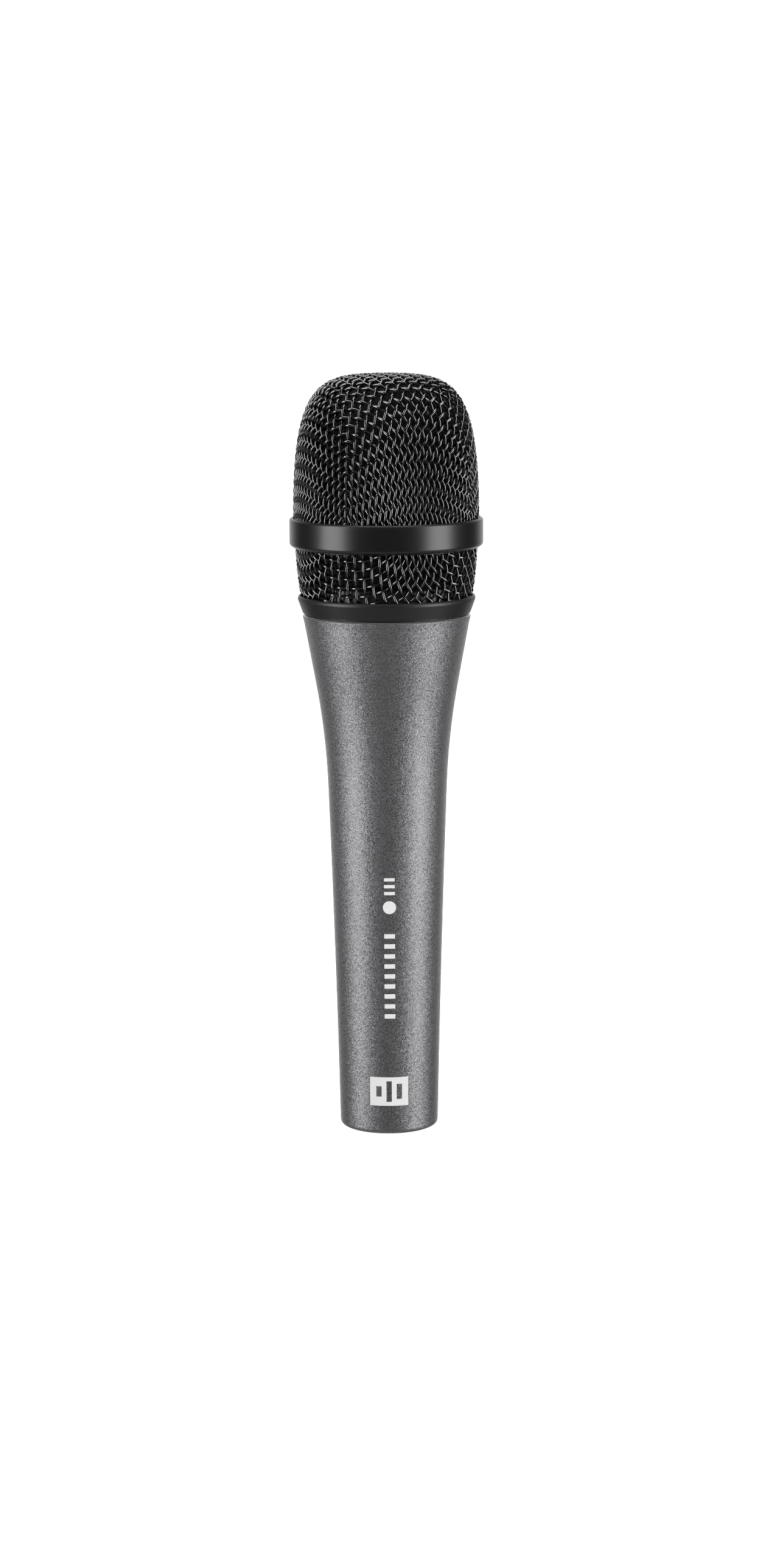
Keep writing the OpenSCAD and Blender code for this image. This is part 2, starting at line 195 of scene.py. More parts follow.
def meet(form, a, b, guess):
    """The point on the form that is one pitch from a and from b, or None."""
    no_crossing, close_enough = 1e-14, 1e-10
    p = guess
    for _ in range(30):
        gap = np.array([(p - a) @ (p - a) - WIRE_PITCH**2, (p - b) @ (p - b) - WIRE_PITCH**2, form.off(p)])
        slopes = np.array([2 * (p - a), 2 * (p - b), form.slope(p)])
        if abs(np.linalg.det(slopes)) < no_crossing:
            return None
        step = np.linalg.solve(slopes, gap)
        step *= min(1, MM / np.abs(step).max())
        p = p - step
        if np.abs(step).max() < close_enough:
            return p
    return None


def down_meridian(form, start, axis, past):
    """Crossing points down the meridian that lies along axis."""
    across = np.cross(axis, [0.0, 0.0, 1.0])
    points, back = [start], start - axis * WIRE_PITCH
    while not past(points[-1]):
        last = points[-1]
        p = 2 * last - back
        for _ in range(40):
            gap = np.array([(p - last) @ (p - last) - WIRE_PITCH**2, p @ across, form.off(p)])
            p = p - np.linalg.solve(np.array([2 * (p - last), across, form.slope(p)]), gap)
        back = last
        points.append(p)
    return points


def draw_net(form, apex_z, past):
    """A quarter of the cloth's crossing points, {(i, j): point}, laid from the apex at one pitch apart."""
    start = np.array([0.0, 0.0, apex_z])
    net = {(i, 0): p for i, p in enumerate(down_meridian(form, start, np.array([1.0, 0, 0]), past))}
    net.update({(0, j): p for j, p in enumerate(down_meridian(form, start, np.array([0, 1.0, 0]), past))})
    most = max(i for i, _ in net) + 1
    for j in range(1, most):
        for i in range(1, most):
            a, b, c = net.get((i - 1, j)), net.get((i, j - 1)), net.get((i - 1, j - 1))
            if a is None or b is None or c is None or (past(a) and past(b)):
                continue
            p = meet(form, a, b, a + b - c)
            if p is not None:
                net[(i, j)] = p
    return net


def edge_images(net):
    """(image, original, sign flips) of each crossing beside one of the quarter's two edges."""
    images = [((-i, j), (i, j), (-1, 1, 1)) for i, j in net if i == 1]
    return images + [((i, -j), (i, j), (1, -1, 1)) for i, j in net if j == 1]


def net_links(full, net, at):
    """Numbers of the crossings next to each other, across a cell from each other, and three in a row."""
    edges = np.array([(at[i, j], at[t]) for i, j in full for t in ((i + 1, j), (i, j + 1)) if t in at])
    across = np.array([(at[i, j], at[i + 1, j - 1]) for i, j in full if (i + 1, j - 1) in at])
    runs = np.array([
        (at[before], at[i, j], at[after])
        for i, j in net
        for before, after in (((i - 1, j), (i + 1, j)), ((i, j - 1), (i, j + 1)))
        if before in at and after in at
    ])
    return edges, across, runs


def stretch(x, move, ends, rest, pull, only_push):
    """Adds to move what brings linked crossings to rest apart, or only pushes apart the closer ones."""
    v = x[ends[:, 1]] - x[ends[:, 0]]
    length = np.linalg.norm(v, axis=1)
    off = np.minimum(length - rest, 0) if only_push else length - rest
    shift = pull * (off / length)[:, None] * v
    np.add.at(move, ends[:, 0], shift)
    np.add.at(move, ends[:, 1], -shift)


def straighten(x, move, runs, carried):
    """Adds to move what takes the bend out of three crossings in a row."""
    bend = carried * ((x[runs[:, 0]] + x[runs[:, 2]]) / 2 - x[runs[:, 1]])
    np.add.at(move, runs[:, 1], bend)
    np.add.at(move, runs[:, 0], -bend / 2)
    np.add.at(move, runs[:, 2], -bend / 2)


def relax_net(form, net, rounds, stiffness, edge_stiffness):
    """Lets the wires of a quarter net stretch and straighten a little, and locks sheared cells at LOCK_GAP.

    Mirror images of the rows beside the two edges of the quarter carry the wires' bending across them;
    edge_stiffness(z) is how much of it they carry at each height.
    """
    images = edge_images(net)
    full = {**net, **{image: net[original] for image, original, _ in images}}
    at = {key: n for n, key in enumerate(full)}
    copies = np.array([at[image] for image, _, _ in images])
    originals = np.array([at[original] for _, original, _ in images])
    flips = np.array([flip for _, _, flip in images])
    edges, across, runs = net_links(full, net, at)
    on_x = np.array([j == 0 for _, j in full])
    on_y = np.array([i == 0 for i, _ in full])
    x = np.array(list(full.values()))
    mirrored = np.isin(runs[:, 0], copies)
    carried = stiffness * np.where(mirrored, edge_stiffness(x[runs[:, 1], 2]), 1)[:, None]
    for _ in range(rounds):
        x[copies] = x[originals] * flips
        move = np.zeros_like(x)
        stretch(x, move, edges, WIRE_PITCH, EDGE_PULL, False)
        stretch(x, move, across, LOCK_GAP, CELL_PUSH, True)
        straighten(x, move, runs, carried)
        x = x + move
        x[on_x, 1] = 0
        x[on_y, 0] = 0
        x = form.onto(x)
    return {key: x[at[key]] for key in net}


def crown_only(z):
    """None of the bending on the dome's wall, easing to all of it at the crown."""
    wall_z, rise = 158 * MM, 27 * MM
    return np.clip((z - wall_z) / rise, 0, 1)**2


def wire_rows(net):
    """Both families of whole wires as lists of (crossing point, over or under)."""
    most = max(max(i, j) for i, j in net)
    rows = []
    for family in (0, 1):
        for j in range(-most, most + 1):
            row = []
            for i in range(-most, most + 1):
                key = (abs(i), abs(j)) if family == 0 else (abs(j), abs(i))
                if key not in net:
                    continue
                p = net[key]
                sx, sy = (i, j) if family == 0 else (j, i)
                over = 1 if (i + j + family) % 2 == 0 else -1
                row.append((math.copysign(p[0], sx) if sx else 0.0, math.copysign(p[1], sy) if sy else 0.0,
                            p[2], over))
            if len(row) > 1:
                rows.append((family, np.array(row)))
    return rows


def smooth_rows(values, per_span):
    """Catmull-Rom curve through the rows of values."""
    before = np.vstack([2 * values[0] - values[1], values[:-2], values[-2:-1]])[:len(values) - 1]
    start, end = values[:-1], values[1:]
    after = np.vstack([values[2:], 2 * values[-1] - values[-2]])
    t = (np.arange(per_span) / per_span)[None, :, None]
    a, b, c, d = (v[:, None, :] for v in (before, start, end, after))
    spans = 0.5 * (2 * b + (c - a) * t + (2 * a - 5 * b + 4 * c - d) * t**2 + (3 * b - a - 3 * c + d) * t**3)
    return np.vstack([spans.reshape(-1, values.shape[1]), values[-1:]])


def split_runs(keep):
    """(start, end) of each run of True that is long enough to be a wire."""
    shortest = 4
    runs, start = [], None
    for n, inside in enumerate([*keep, False]):
        if inside and start is None:
            start = n
        elif not inside and start is not None:
            if n - start >= shortest:
                runs.append((start, n))
            start = None
    return runs


def tube(centres, normals, radius, sides):
    """(points, quads, caps) of a round wire along centres, its corners turned by the surface's normals."""
    along = np.gradient(centres, axis=0)
    along /= np.linalg.norm(along, axis=1)[:, None]
    u = normals - (normals * along).sum(1)[:, None] * along
    u /= np.linalg.norm(u, axis=1)[:, None]
    w = np.cross(along, u)
    turn = 2 * np.pi * np.arange(sides) / sides
    ring = np.cos(turn)[None, :, None] * u[:, None, :] + np.sin(turn)[None, :, None] * w[:, None, :]
    points = (centres[:, None, :] + radius * ring).reshape(-1, 3)
    n, k = len(centres), np.arange(sides)
    base = (np.arange(n - 1) * sides)[:, None]
    quads = np.stack([base + k, base + (k + 1) % sides, base + sides + (k + 1) % sides, base + sides + k], -1)
    return points, quads.reshape(-1, 4), [k[::-1], k + (n - 1) * sides]


def woven_wires(form, net, low_z, high_z, sides=8, per_span=5):
    """Two meshes' arrays, one for each family of wires, kept between two heights."""
    turn = np.array(Matrix.Rotation(WEAVE_TURN, 3, "Z"))
    made = {0: ([], [], [], 0), 1: ([], [], [], 0)}
    for family, row in wire_rows(net):
        path = smooth_rows(row, per_span)
        points = form.onto(path[:, :3])
        normals = form.normals(points)
        centres = points + normals * (path[:, 3] * WIRE_R)[:, None]
        keep = (centres[:, 2] > low_z) & (centres[:, 2] < high_z)
        for start, end in split_runs(keep):
            p, q, caps = tube(centres[start:end] @ turn.T, normals[start:end] @ turn.T, WIRE_R, sides)
            all_p, all_q, all_c, count = made[family]
            all_p.append(p)
            all_q.append(q + count)
            all_c.extend(c + count for c in caps)
            made[family] = (all_p, all_q, all_c, count + len(p))
    return [(np.vstack(p), np.vstack(q), c) for p, q, c, _ in made.values()]


def build_grille(node, form, net, low_z, high_z):
    """Replaces a CAD grille with its two families of woven wires."""
    for name, (points, quads, caps) in zip(("warp", "weft"), woven_wires(form, net, low_z, high_z)):
        name = f"{node}_{name}"
        stand_in(new_object(name, mesh_from_arrays(name, points, quads, caps)), node)


# ---------------------------------------------------------------- materials

class Shader:
    """A node material with one Principled shader and short ways to add what feeds it."""

    def __init__(self, name, **sockets):
        self.material = bpy.data.materials.new(name)
        self.material.use_nodes = True
        self.tree = self.material.node_tree
        self.principled = self.tree.nodes["Principled BSDF"]
        for socket, value in sockets.items():
            self.principled.inputs[socket.replace("_", " ")].default_value = value
        self.coords = self.add("ShaderNodeTexCoord").outputs["Object"]

    def add(self, kind, inputs=None, **settings):
        node = self.tree.nodes.new(kind)
        for key, value in settings.items():
            setattr(node, key, value)
        for key, value in (inputs or {}).items():
            if isinstance(value, bpy.types.NodeSocket):
                self.tree.links.new(value, node.inputs[key])
            else:
                node.inputs[key].default_value = value
        return node

    def link(self, output, socket):
        self.tree.links.new(output, self.principled.inputs[socket])

    def math(self, operation, *values):
        return self.add("ShaderNodeMath", dict(enumerate(values)), operation=operation).outputs[0]

    def within(self, value, centre, half):
        """1 where value is within half of centre."""
        return self.math("COMPARE", value, centre, half)

    def both(self, a, b):
        return self.math("MULTIPLY", a, b)

    def either(self, a, b):
        return self.math("MAXIMUM", a, b)

    def without(self, a, b):
        return self.math("SUBTRACT", a, b)

    def vector(self, operation, *values, **inputs):
        return self.add(
            "ShaderNodeVectorMath", {**dict(enumerate(values)), **inputs}, operation=operation
        ).outputs[0]

    def noise(self, size, detail=3.0, roughness=0.55, stretch=(1, 1, 1)):
        """Noise from 0 to 1 with features about size metres across, or longer where stretch is under 1."""
        place = self.add("ShaderNodeMapping", {"Vector": self.coords, "Scale": stretch}).outputs[0]
        return self.add(
            "ShaderNodeTexNoise",
            {"Vector": place, "Scale": 1 / size, "Detail": detail, "Roughness": roughness}
        ).outputs[0]

    def cells(self, size, output="Color"):
        return self.add("ShaderNodeTexVoronoi", {"Vector": self.coords, "Scale": 1 / size}).outputs[output]

    def bands(self, period, direction):
        """Ridges from 0 to 1, repeated along X, Y or Z every period metres."""
        return self.add(
            "ShaderNodeTexWave",
            {"Vector": self.coords, "Scale": math.pi / 10 / period},
            wave_type="BANDS", bands_direction=direction
        ).outputs["Fac"]

    def ramp(self, value, low, high, start=0.0, end=1.0):
        """value moved from the range start..end to low..high."""
        return self.add(
            "ShaderNodeMapRange",
            {"Value": value, "From Min": start, "From Max": end, "To Min": low, "To Max": high}
        ).outputs[0]

    def blend(self, factor, a, b):
        """Colour a where factor is 0 and b where it is 1."""
        return self.add("ShaderNodeMix", {0: factor, 6: a, 7: b}, data_type="RGBA").outputs[2]

    def bump(self, height, depth, strength=1.0):
        """Relief from a height of 0 to 1 that stands for depth metres."""
        node = self.add("ShaderNodeBump", {"Height": height, "Distance": depth, "Strength": strength})
        self.link(node.outputs[0], "Normal")


def grey(value):
    return (value, value, value, 1)


def times(color, share):
    return (*(channel * share for channel in color[:3]), 1)


def wire_enamel():
    """Glossy black enamel over woven wire, a little uneven, as a dark mirror."""
    s = Shader("wire_enamel", Metallic=1.0)
    wear = s.noise(1.1 * MM, 4)
    s.link(s.blend(wear, grey(0.1), grey(0.19)), "Base Color")
    s.link(s.ramp(wear, 0.1, 0.2), "Roughness")
    s.bump(s.noise(0.35 * MM, 3), 0.012 * MM, 0.5)
    return s.material


def band_paint(color):
    """Fine-grained satin black enamel on the raised band."""
    s = Shader("band_paint", Coat_Weight=0.3, Coat_Roughness=0.25)
    grain = s.noise(0.16 * MM, 3, 0.6)
    s.link(s.blend(grain, times(color, 0.25), times(color, 0.7)), "Base Color")
    s.link(s.ramp(grain, 0.26, 0.4), "Roughness")
    s.bump(grain, 0.012 * MM, 0.6)
    return s.material


def collar_paint(color):
    """Smooth satin black enamel."""
    s = Shader("collar_paint", Coat_Weight=0.2, Coat_Roughness=0.3)
    grain = s.noise(0.12 * MM, 2)
    s.link(s.blend(grain, times(color, 0.5), times(color, 0.75)), "Base Color")
    s.link(s.ramp(grain, 0.4, 0.48), "Roughness")
    s.bump(grain, 0.004 * MM, 0.4)
    return s.material


def front_marks(s):
    """1 where the plain white marks are printed on the front of the handle, and 0 elsewhere."""
    place = s.add("ShaderNodeSeparateXYZ", {0: s.coords}).outputs
    x, y, z = place["X"], place["Y"], place["Z"]
    half_width = 1.3 * MM

    def ladder(low, pitch, count, bar):
        """A column of count bars."""
        step = s.math("MODULO", s.without(z, low), pitch)
        bars = s.within(step, bar / 2, bar / 2)
        middle, reach = low + count * pitch / 2, count * pitch / 2
        return s.both(s.both(bars, s.within(z, middle, reach)), s.within(x, MARK_X, half_width))

    def oblong(centre_x, centre_z, half_x, half_z):
        return s.both(s.within(x, centre_x, half_x), s.within(z, centre_z, half_z))

    dot_z, dot_r, plate_z, slot_half = 57.0 * MM, 1.6 * MM, 10.9 * MM, 0.65 * MM
    across = s.math("POWER", s.without(x, MARK_X), 2.0)
    up = s.math("POWER", s.without(z, dot_z), 2.0)
    dot = s.math("LESS_THAN", s.math("ADD", across, up), dot_r**2)
    plate = oblong(0, plate_z, 4.65 * MM, 3.6 * MM)
    for slot_x, half_height in ((-2.5, 1.3), (0, 2.6), (2.5, 1.9)):
        plate = s.without(plate, oblong(slot_x * MM, plate_z, slot_half, half_height * MM))
    bars = s.either(ladder(29.3 * MM, 2.5 * MM, 9, 1.1 * MM), ladder(60.1 * MM, 1.7 * MM, 3, 0.8 * MM))
    marks = s.either(s.either(bars, dot), plate)
    return s.both(marks, s.math("LESS_THAN", y, 0.0))


def handle_paint(color):
    """Dark silver enamel full of fine metal flakes, with a painted highlight at the shoulder: a thin band
    along the edge, lighter and glossier than the paint.
    """
    s = Shader("handle_paint", Sheen_Weight=0.6, Sheen_Roughness=0.3)
    flake = s.cells(0.13 * MM)
    tone = s.add("ShaderNodeSeparateColor", {"Color": flake}).outputs[2]
    cloud = s.noise(0.2 * MM, 2, 0.6)
    bright = s.math("MULTIPLY_ADD", tone, 0.75, s.math("MULTIPLY", cloud, 0.25))
    paint = s.blend(bright, times(color, 0.6), times(color, 2.6))
    z = s.add("ShaderNodeSeparateXYZ", {0: s.coords}).outputs["Z"]
    # painted highlight: a thin band at the shoulder edge, given lighter metal and less roughness than the
    # paint
    shoulder_highlight = s.within(z, SHOULDER_Z, 0.13 * MM)
    ink = front_marks(s)
    ink_and_highlight = s.either(shoulder_highlight, ink)
    # grey(0.6) is the colour of the painted highlight at the shoulder edge
    s.link(s.blend(ink, s.blend(shoulder_highlight, paint, grey(0.6)), grey(0.93)), "Base Color")
    s.link(s.both(s.without(1.0, ink), 0.85), "Metallic")
    s.link(s.ramp(shoulder_highlight, s.ramp(tone, 0.4, 0.54), 0.25), "Roughness")
    lean = s.ramp(ink_and_highlight, 0.3, 0.0)
    tilt = s.vector("SCALE", s.vector("SUBTRACT", flake, (0.5, 0.5, 0.5)), Scale=lean)
    face = s.add("ShaderNodeNewGeometry").outputs["Normal"]
    s.link(s.vector("NORMALIZE", s.vector("ADD", face, tilt)), "Normal")
    return s.material


def foam(color):
    """Open-cell foam with tiny bright struts."""
    s = Shader("foam", Roughness=0.95)
    pores = s.cells(0.45 * MM, "Distance")
    specks = s.ramp(s.noise(0.28 * MM, 2), 0, 1, 0.68, 0.74)
    s.link(s.blend(specks, times(color, 0.3), times(color, 3.5)), "Base Color")
    s.bump(pores, 0.2 * MM, 0.8)
    return s.material


def cloth(color):
    """Plain weave of fine thread."""
    s = Shader("cloth", Roughness=0.8, Sheen_Weight=0.3)
    pitch = 0.3 * MM
    threads = s.either(s.either(s.bands(pitch, "X"), s.bands(pitch, "Y")), s.bands(pitch, "Z"))
    s.link(s.blend(threads, times(color, 0.35), times(color, 1)), "Base Color")
    s.bump(threads, 0.08 * MM, 0.8)
    return s.material


def felt(color):
    """Pressed wool, its fibres lying every way."""
    s = Shader("felt", Roughness=0.95, Sheen_Weight=0.4)
    long_way = s.noise(0.12 * MM, 5, 0.7, (1, 0.15, 1))
    cross_way = s.noise(0.12 * MM, 5, 0.7, (0.15, 1, 1))
    fibres = s.either(long_way, cross_way)
    s.link(s.blend(s.ramp(fibres, 0, 1, 0.4, 0.75), times(color, 0.55), times(color, 1.1)), "Base Color")
    s.bump(fibres, 0.15 * MM, 0.8)
    return s.material


def turned_metal(color, name="turned_metal", roughness=0.28):
    """Metal with fine rings left by the lathe."""
    s = Shader(name, Metallic=1.0)
    rings = s.noise(0.09 * MM, 4, 0.6, (0.02, 0.02, 1))
    stain = s.noise(3 * MM, 3)
    s.link(s.blend(stain, times(color, 0.8), times(color, 1.1)), "Base Color")
    s.link(s.ramp(rings, roughness * 0.7, roughness * 1.3), "Roughness")
    s.bump(rings, 0.006 * MM, 0.7)
    return s.material


def wound_wire(color, pitch=0.16 * MM):
    """Enamelled copper laid turn beside turn."""
    s = Shader("wound_wire", Metallic=0.9, Coat_Weight=0.5, Coat_Roughness=0.15)
    turns = s.bands(pitch, "Z")
    s.link(s.blend(turns, times(color, 0.25), times(color, 1.2)), "Base Color")
    s.link(s.ramp(s.noise(0.6 * MM), 0.25, 0.4), "Roughness")
    s.bump(turns, pitch / 3, 0.9)
    return s.material


def stacked_plates(color):
    """Thin steel plates seen on edge, with a little rust between them."""
    s = Shader("stacked_plates", Metallic=0.9)
    plates = s.bands(0.35 * MM, "Y")
    rust = s.ramp(s.noise(0.8 * MM, 4), 0, 1, 0.62, 0.75)
    steel = s.blend(plates, times(color, 0.35), times(color, 1.1))
    s.link(s.blend(rust, steel, (0.16, 0.07, 0.03, 1)), "Base Color")
    s.link(s.ramp(rust, 0.38, 0.7), "Roughness")
    s.bump(plates, 0.05 * MM, 0.8)
    return s.material


def fibre_board(color):
    """Resin board with paper fibres in it."""
    s = Shader("fibre_board", Coat_Weight=0.2, Coat_Roughness=0.2)
    fibres = s.noise(0.15 * MM, 5, 0.65, (1, 0.2, 1))
    s.link(s.blend(fibres, times(color, 0.6), times(color, 1.3)), "Base Color")
    s.link(s.ramp(fibres, 0.35, 0.5), "Roughness")
    s.bump(fibres, 0.01 * MM, 0.6)
    return s.material


def cast_alloy(color):
    """Sintered metal, coarse and pitted."""
    s = Shader("cast_alloy", Metallic=0.9)
    grains = s.noise(0.3 * MM, 5, 0.7)
    s.link(s.blend(grains, times(color, 0.5), times(color, 1.2)), "Base Color")
    s.link(s.ramp(grains, 0.4, 0.7), "Roughness")
    s.bump(grains, 0.05 * MM, 0.8)
    return s.material


def moulded(color, name="moulded", roughness=0.5, grain=0.1 * MM, depth=0.006 * MM):
    """Plastic or rubber with the fine texture of its mould."""
    s = Shader(name)
    texture = s.noise(grain, 3)
    cloud = s.noise(6 * MM, 3)
    s.link(s.blend(cloud, times(color, 0.8), times(color, 1.15)), "Base Color")
    s.link(s.ramp(texture, roughness * 0.8, roughness * 1.2), "Roughness")
    s.bump(texture, depth, 0.6)
    return s.material


def film(color):
    """Thin clear film, faintly wrinkled."""
    s = Shader("film", Transmission_Weight=0.75, Roughness=0.12, IOR=1.5)
    cloud = s.noise(2.5 * MM, 3)
    s.link(s.blend(cloud, times(color, 0.9), times(color, 1.1)), "Base Color")
    s.bump(cloud, 0.03 * MM, 0.5)
    return s.material


FINISHES = {
    "handle_paint": handle_paint,
    "insert_nylon": lambda c: moulded(c, "insert_nylon", 0.45),
    "contact_plate": lambda c: turned_metal(c, "contact_plate", 0.16),
    "screw_steel": lambda c: turned_metal(c, "screw_steel", 0.35),
    "bronze": lambda c: turned_metal(c, "bronze", 0.3),
    "lead_green": lambda c: moulded(c, "lead_green", 0.4),
    "lead_red": lambda c: moulded(c, "lead_red", 0.4),
    "lamination": stacked_plates,
    "bobbin_nylon": lambda c: moulded(c, "bobbin_nylon", 0.45),
    "winding_copper": wound_wire,
    "sleeve_foam": foam,
    "mount_rubber": lambda c: moulded(c, "mount_rubber", 0.65, 0.2 * MM, 0.01 * MM),
    "ring_alloy": lambda c: turned_metal(c, "ring_alloy", 0.3),
    "washer_nylon": lambda c: moulded(c, "washer_nylon", 0.6),
    "collar_paint": collar_paint,
    "ring_paint": band_paint,
    "mesh_wire": lambda c: wire_enamel(),
    "hoop_steel": lambda c: turned_metal(times(c, 0.1), "hoop_steel", 0.45),
    "liner_foam": foam,
    "capsule_plastic": lambda c: moulded(c, "capsule_plastic", 0.4),
    "board_phenolic": fibre_board,
    "tag_gold": lambda c: turned_metal(c, "tag_gold", 0.22),
    "port_silk": cloth,
    "cup_iron": lambda c: turned_metal(c, "cup_iron", 0.3),
    "magnet_alloy": cast_alloy,
    "felt": felt,
    "ring_brass": lambda c: turned_metal(c, "ring_brass", 0.25),
    "front_silk": cloth,
    "cap_plate": lambda c: turned_metal(c, "cap_plate", 0.32),
    "film": film,
    "coil_copper": lambda c: wound_wire(c, 0.12 * MM),
}
COLORS = {row["slot"]: row["base_color"] for row in frame["record"]["materials"]}
SLOT_OF = {row["node"]: row["material_slot"] for row in frame["record"]["subparts"]}
BODY_OF = {node: body for body, nodes in frame["record"]["behaviour"]["bodies"].items() for node in nodes}
made_materials = {}


def finish_of(slot):
    """The material of one of the record's slots, made once."""
    if slot not in made_materials:
        made_materials[slot] = FINISHES[slot](COLORS[slot])
    return made_materials[slot]


def paint_nodes():
    """Gives every CAD node its material."""
    for node, slot in SLOT_OF.items():
        mesh = frame["nodes"][node].data
        mesh.materials.clear()
        mesh.materials.append(finish_of(slot))


def stand_in(piece, node, rides=True):
    """piece takes the place, finish and, unless it's to be blended, the body of a CAD node."""
    piece.data.materials.append(finish_of(SLOT_OF[node]))
    if rides:
        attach(piece, BODY_OF[node])
    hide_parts(node)
    return piece


# ---------------------------------------------------------------- foam, felt, cloth and rubber

def resample(outline, spacing):
    """A closed (r, z) outline with points about spacing apart, its corners kept."""
    points = []
    for a, b in zip(outline, np.roll(outline, -1, axis=0)):
        count = max(1, round(np.linalg.norm(b - a) / spacing))
        points.extend(a + (b - a) * n / count for n in range(count))
    return np.array(points)


def lumps(points, size, seed):
    """A smooth random value from -1 to 1 at each point."""
    draw = np.random.default_rng(seed)
    total = np.zeros(len(points))
    for _ in range(24):
        way = draw.normal(size=3)
        way *= draw.uniform(0.6, 1.8) * 2 * np.pi / size / np.linalg.norm(way)
        total += np.sin(points @ way + draw.uniform(0, 2 * np.pi))
    return total / 6


def revolve(name, outline, segments=192, roughen=0.0, lump=2.5 * MM, seed=1):
    """A closed ring from a closed (r, z) outline; roughen pushes its skin in and out by that many metres."""
    turn = 2 * np.pi * np.arange(segments) / segments
    r, z = outline[:, 0], outline[:, 1]
    points = np.stack([
        np.outer(np.cos(turn), r), np.outer(np.sin(turn), r), np.broadcast_to(z, (segments, len(z)))
    ], -1).reshape(-1, 3)
    count, k = len(outline), np.arange(len(outline))
    a = (np.arange(segments) * count)[:, None]
    b = (np.roll(np.arange(segments), -1) * count)[:, None]
    nxt = (k + 1) % count
    quads = np.stack([a + k, b + k, b + nxt, a + nxt], -1).reshape(-1, 4)
    if roughen:
        side = np.roll(outline, -1, axis=0) - np.roll(outline, 1, axis=0)
        side /= np.linalg.norm(side, axis=1)[:, None]
        out_r, out_z = side[:, 1], -side[:, 0]
        push = -roughen * (0.5 + 0.5 * np.clip(lumps(points, lump, seed), -1, 1))
        points += push[:, None] * np.stack([
            np.outer(np.cos(turn), out_r), np.outer(np.sin(turn), out_r),
            np.broadcast_to(out_z, (segments, count))
        ], -1).reshape(-1, 3)
    return new_object(name, mesh_from_arrays(name, points, quads))


def rounded(corners, radius, steps=4):
    """A closed (r, z) outline with each corner rounded off by a short curve."""
    corners = np.array(corners)
    points = []
    for before, at, after in zip(np.roll(corners, 1, axis=0), corners, np.roll(corners, -1, axis=0)):
        a, b = before - at, after - at
        cut = min(radius, 0.45 * np.linalg.norm(a), 0.45 * np.linalg.norm(b))
        a, b = at + a / np.linalg.norm(a) * cut, at + b / np.linalg.norm(b) * cut
        for t in np.linspace(0, 1, steps + 1):
            points.append((1 - t) ** 2 * a + 2 * t * (1 - t) * at + t * t * b)
    return np.array(points)


def foam_basket():
    """The foam lining of both grilles, its skin lumpy."""
    low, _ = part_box("foam_liner")
    gap, inner_r, waist, pole_r = 0.05 * MM, 17.6 * MM, 19.85 * MM, 0.05 * MM
    depth, foam_t = 2 * WEAVE_HALF + gap, 2.4 * MM
    skin_z, lining_z, hoop_low_z, hoop_high_z = 152.6 * MM, 153.5 * MM, 142.1 * MM, 151.7 * MM
    skin = dome_outline(depth, skin_z)
    skin = skin[skin[:, 1] >= skin_z][::-4]
    lining = dome_outline(depth + foam_t, lining_z)
    lining = lining[lining[:, 1] >= lining_z][::4]
    foot = [(waist_r(z) - depth, z) for z in np.linspace(low.z, hoop_low_z, 6)]
    outline = np.array([
        (inner_r, low.z), *foot, (waist, hoop_low_z + 0.2 * MM), (waist, hoop_high_z), *skin[:-1],
        (pole_r, skin[-1, 1]), (pole_r, lining[0, 1]), *lining[1:], (inner_r, hoop_high_z - 0.2 * MM)
    ])
    piece = revolve("foam_basket", resample(outline, 0.8 * MM), 224, 0.16 * MM, 2.2 * MM, 3)
    stand_in(piece, "foam_liner")


def foam_sleeve():
    """The foam round the transformer, a little crushed at its ends."""
    low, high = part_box("transformer_sleeve")
    inner_r = 9.1 * MM
    outline = rounded([(inner_r, low.z), (high.x, low.z), (high.x, high.z), (inner_r, high.z)], 0.7 * MM)
    piece = revolve("transformer_wrap", resample(outline, 0.7 * MM), 128, 0.2 * MM, 3 * MM, 5)
    stand_in(piece, "transformer_sleeve")


def felt_washer():
    """The felt that damps the diaphragm, its skin fuzzy."""
    low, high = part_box("damping_felt")
    inner_r = 10.62 * MM
    outline = rounded([(inner_r, low.z), (high.x, low.z), (high.x, high.z), (inner_r, high.z)], 0.25 * MM)
    piece = revolve("felt_washer", resample(outline, 0.3 * MM), 192, 0.08 * MM, 0.9 * MM, 7)
    stand_in(piece, "damping_felt")


def cloth_band():
    """The silk band inside the capsule's rear ports."""
    low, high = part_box("port_cloth")
    thick, clear, swell = 0.1 * MM, 0.02 * MM, 0.03 * MM
    outer_r = high.x - clear
    z = np.linspace(low.z + clear, high.z - clear, 28)
    skin_r = outer_r + swell * np.sin(z / (1.3 * MM)) - swell
    outline = np.vstack([np.column_stack([skin_r - thick, z]), np.column_stack([skin_r, z])[::-1]])
    piece = revolve("port_band", outline[::-1], 160)
    stand_in(piece, "port_cloth")


def cloth_disc():
    """The cloth under the capsule's cap, drawn a little slack."""
    _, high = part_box("front_cloth")
    thick, slack = 0.12 * MM, 0.15 * MM
    r = np.linspace(0.02 * MM, high.x - 0.05 * MM, 50)
    dip = slack * (1 - (r / high.x) ** 2)
    top = np.column_stack([r, high.z - dip])
    outline = np.vstack([top - [0, thick], top[::-1]])
    piece = revolve("cap_cloth", outline, 128)
    stand_in(piece, "front_cloth")


def rubber_mount():
    """The rubber ring between the handle and the capsule, not attached to a body."""
    low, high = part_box("shock_mount")
    foot, hub, ledge, top = high.x, 13.25 * MM, low.z, high.z
    foot_top, hub_skin = ledge + 3 * MM, hub + 1.15 * MM
    outline = rounded([
        (foot, ledge), (foot, foot_top), (foot - 1.2 * MM, foot_top), (foot - 1.5 * MM, ledge + 1.4 * MM),
        (hub_skin, ledge + 2.6 * MM), (hub_skin, top), (hub, top), (hub, ledge + 0.6 * MM),
        (foot - 1.15 * MM, ledge)
    ], 0.3 * MM)
    piece = revolve("rubber_mount", resample(outline, 0.5 * MM), 160)
    stand_in(piece, "shock_mount", rides=False)
    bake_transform(piece)


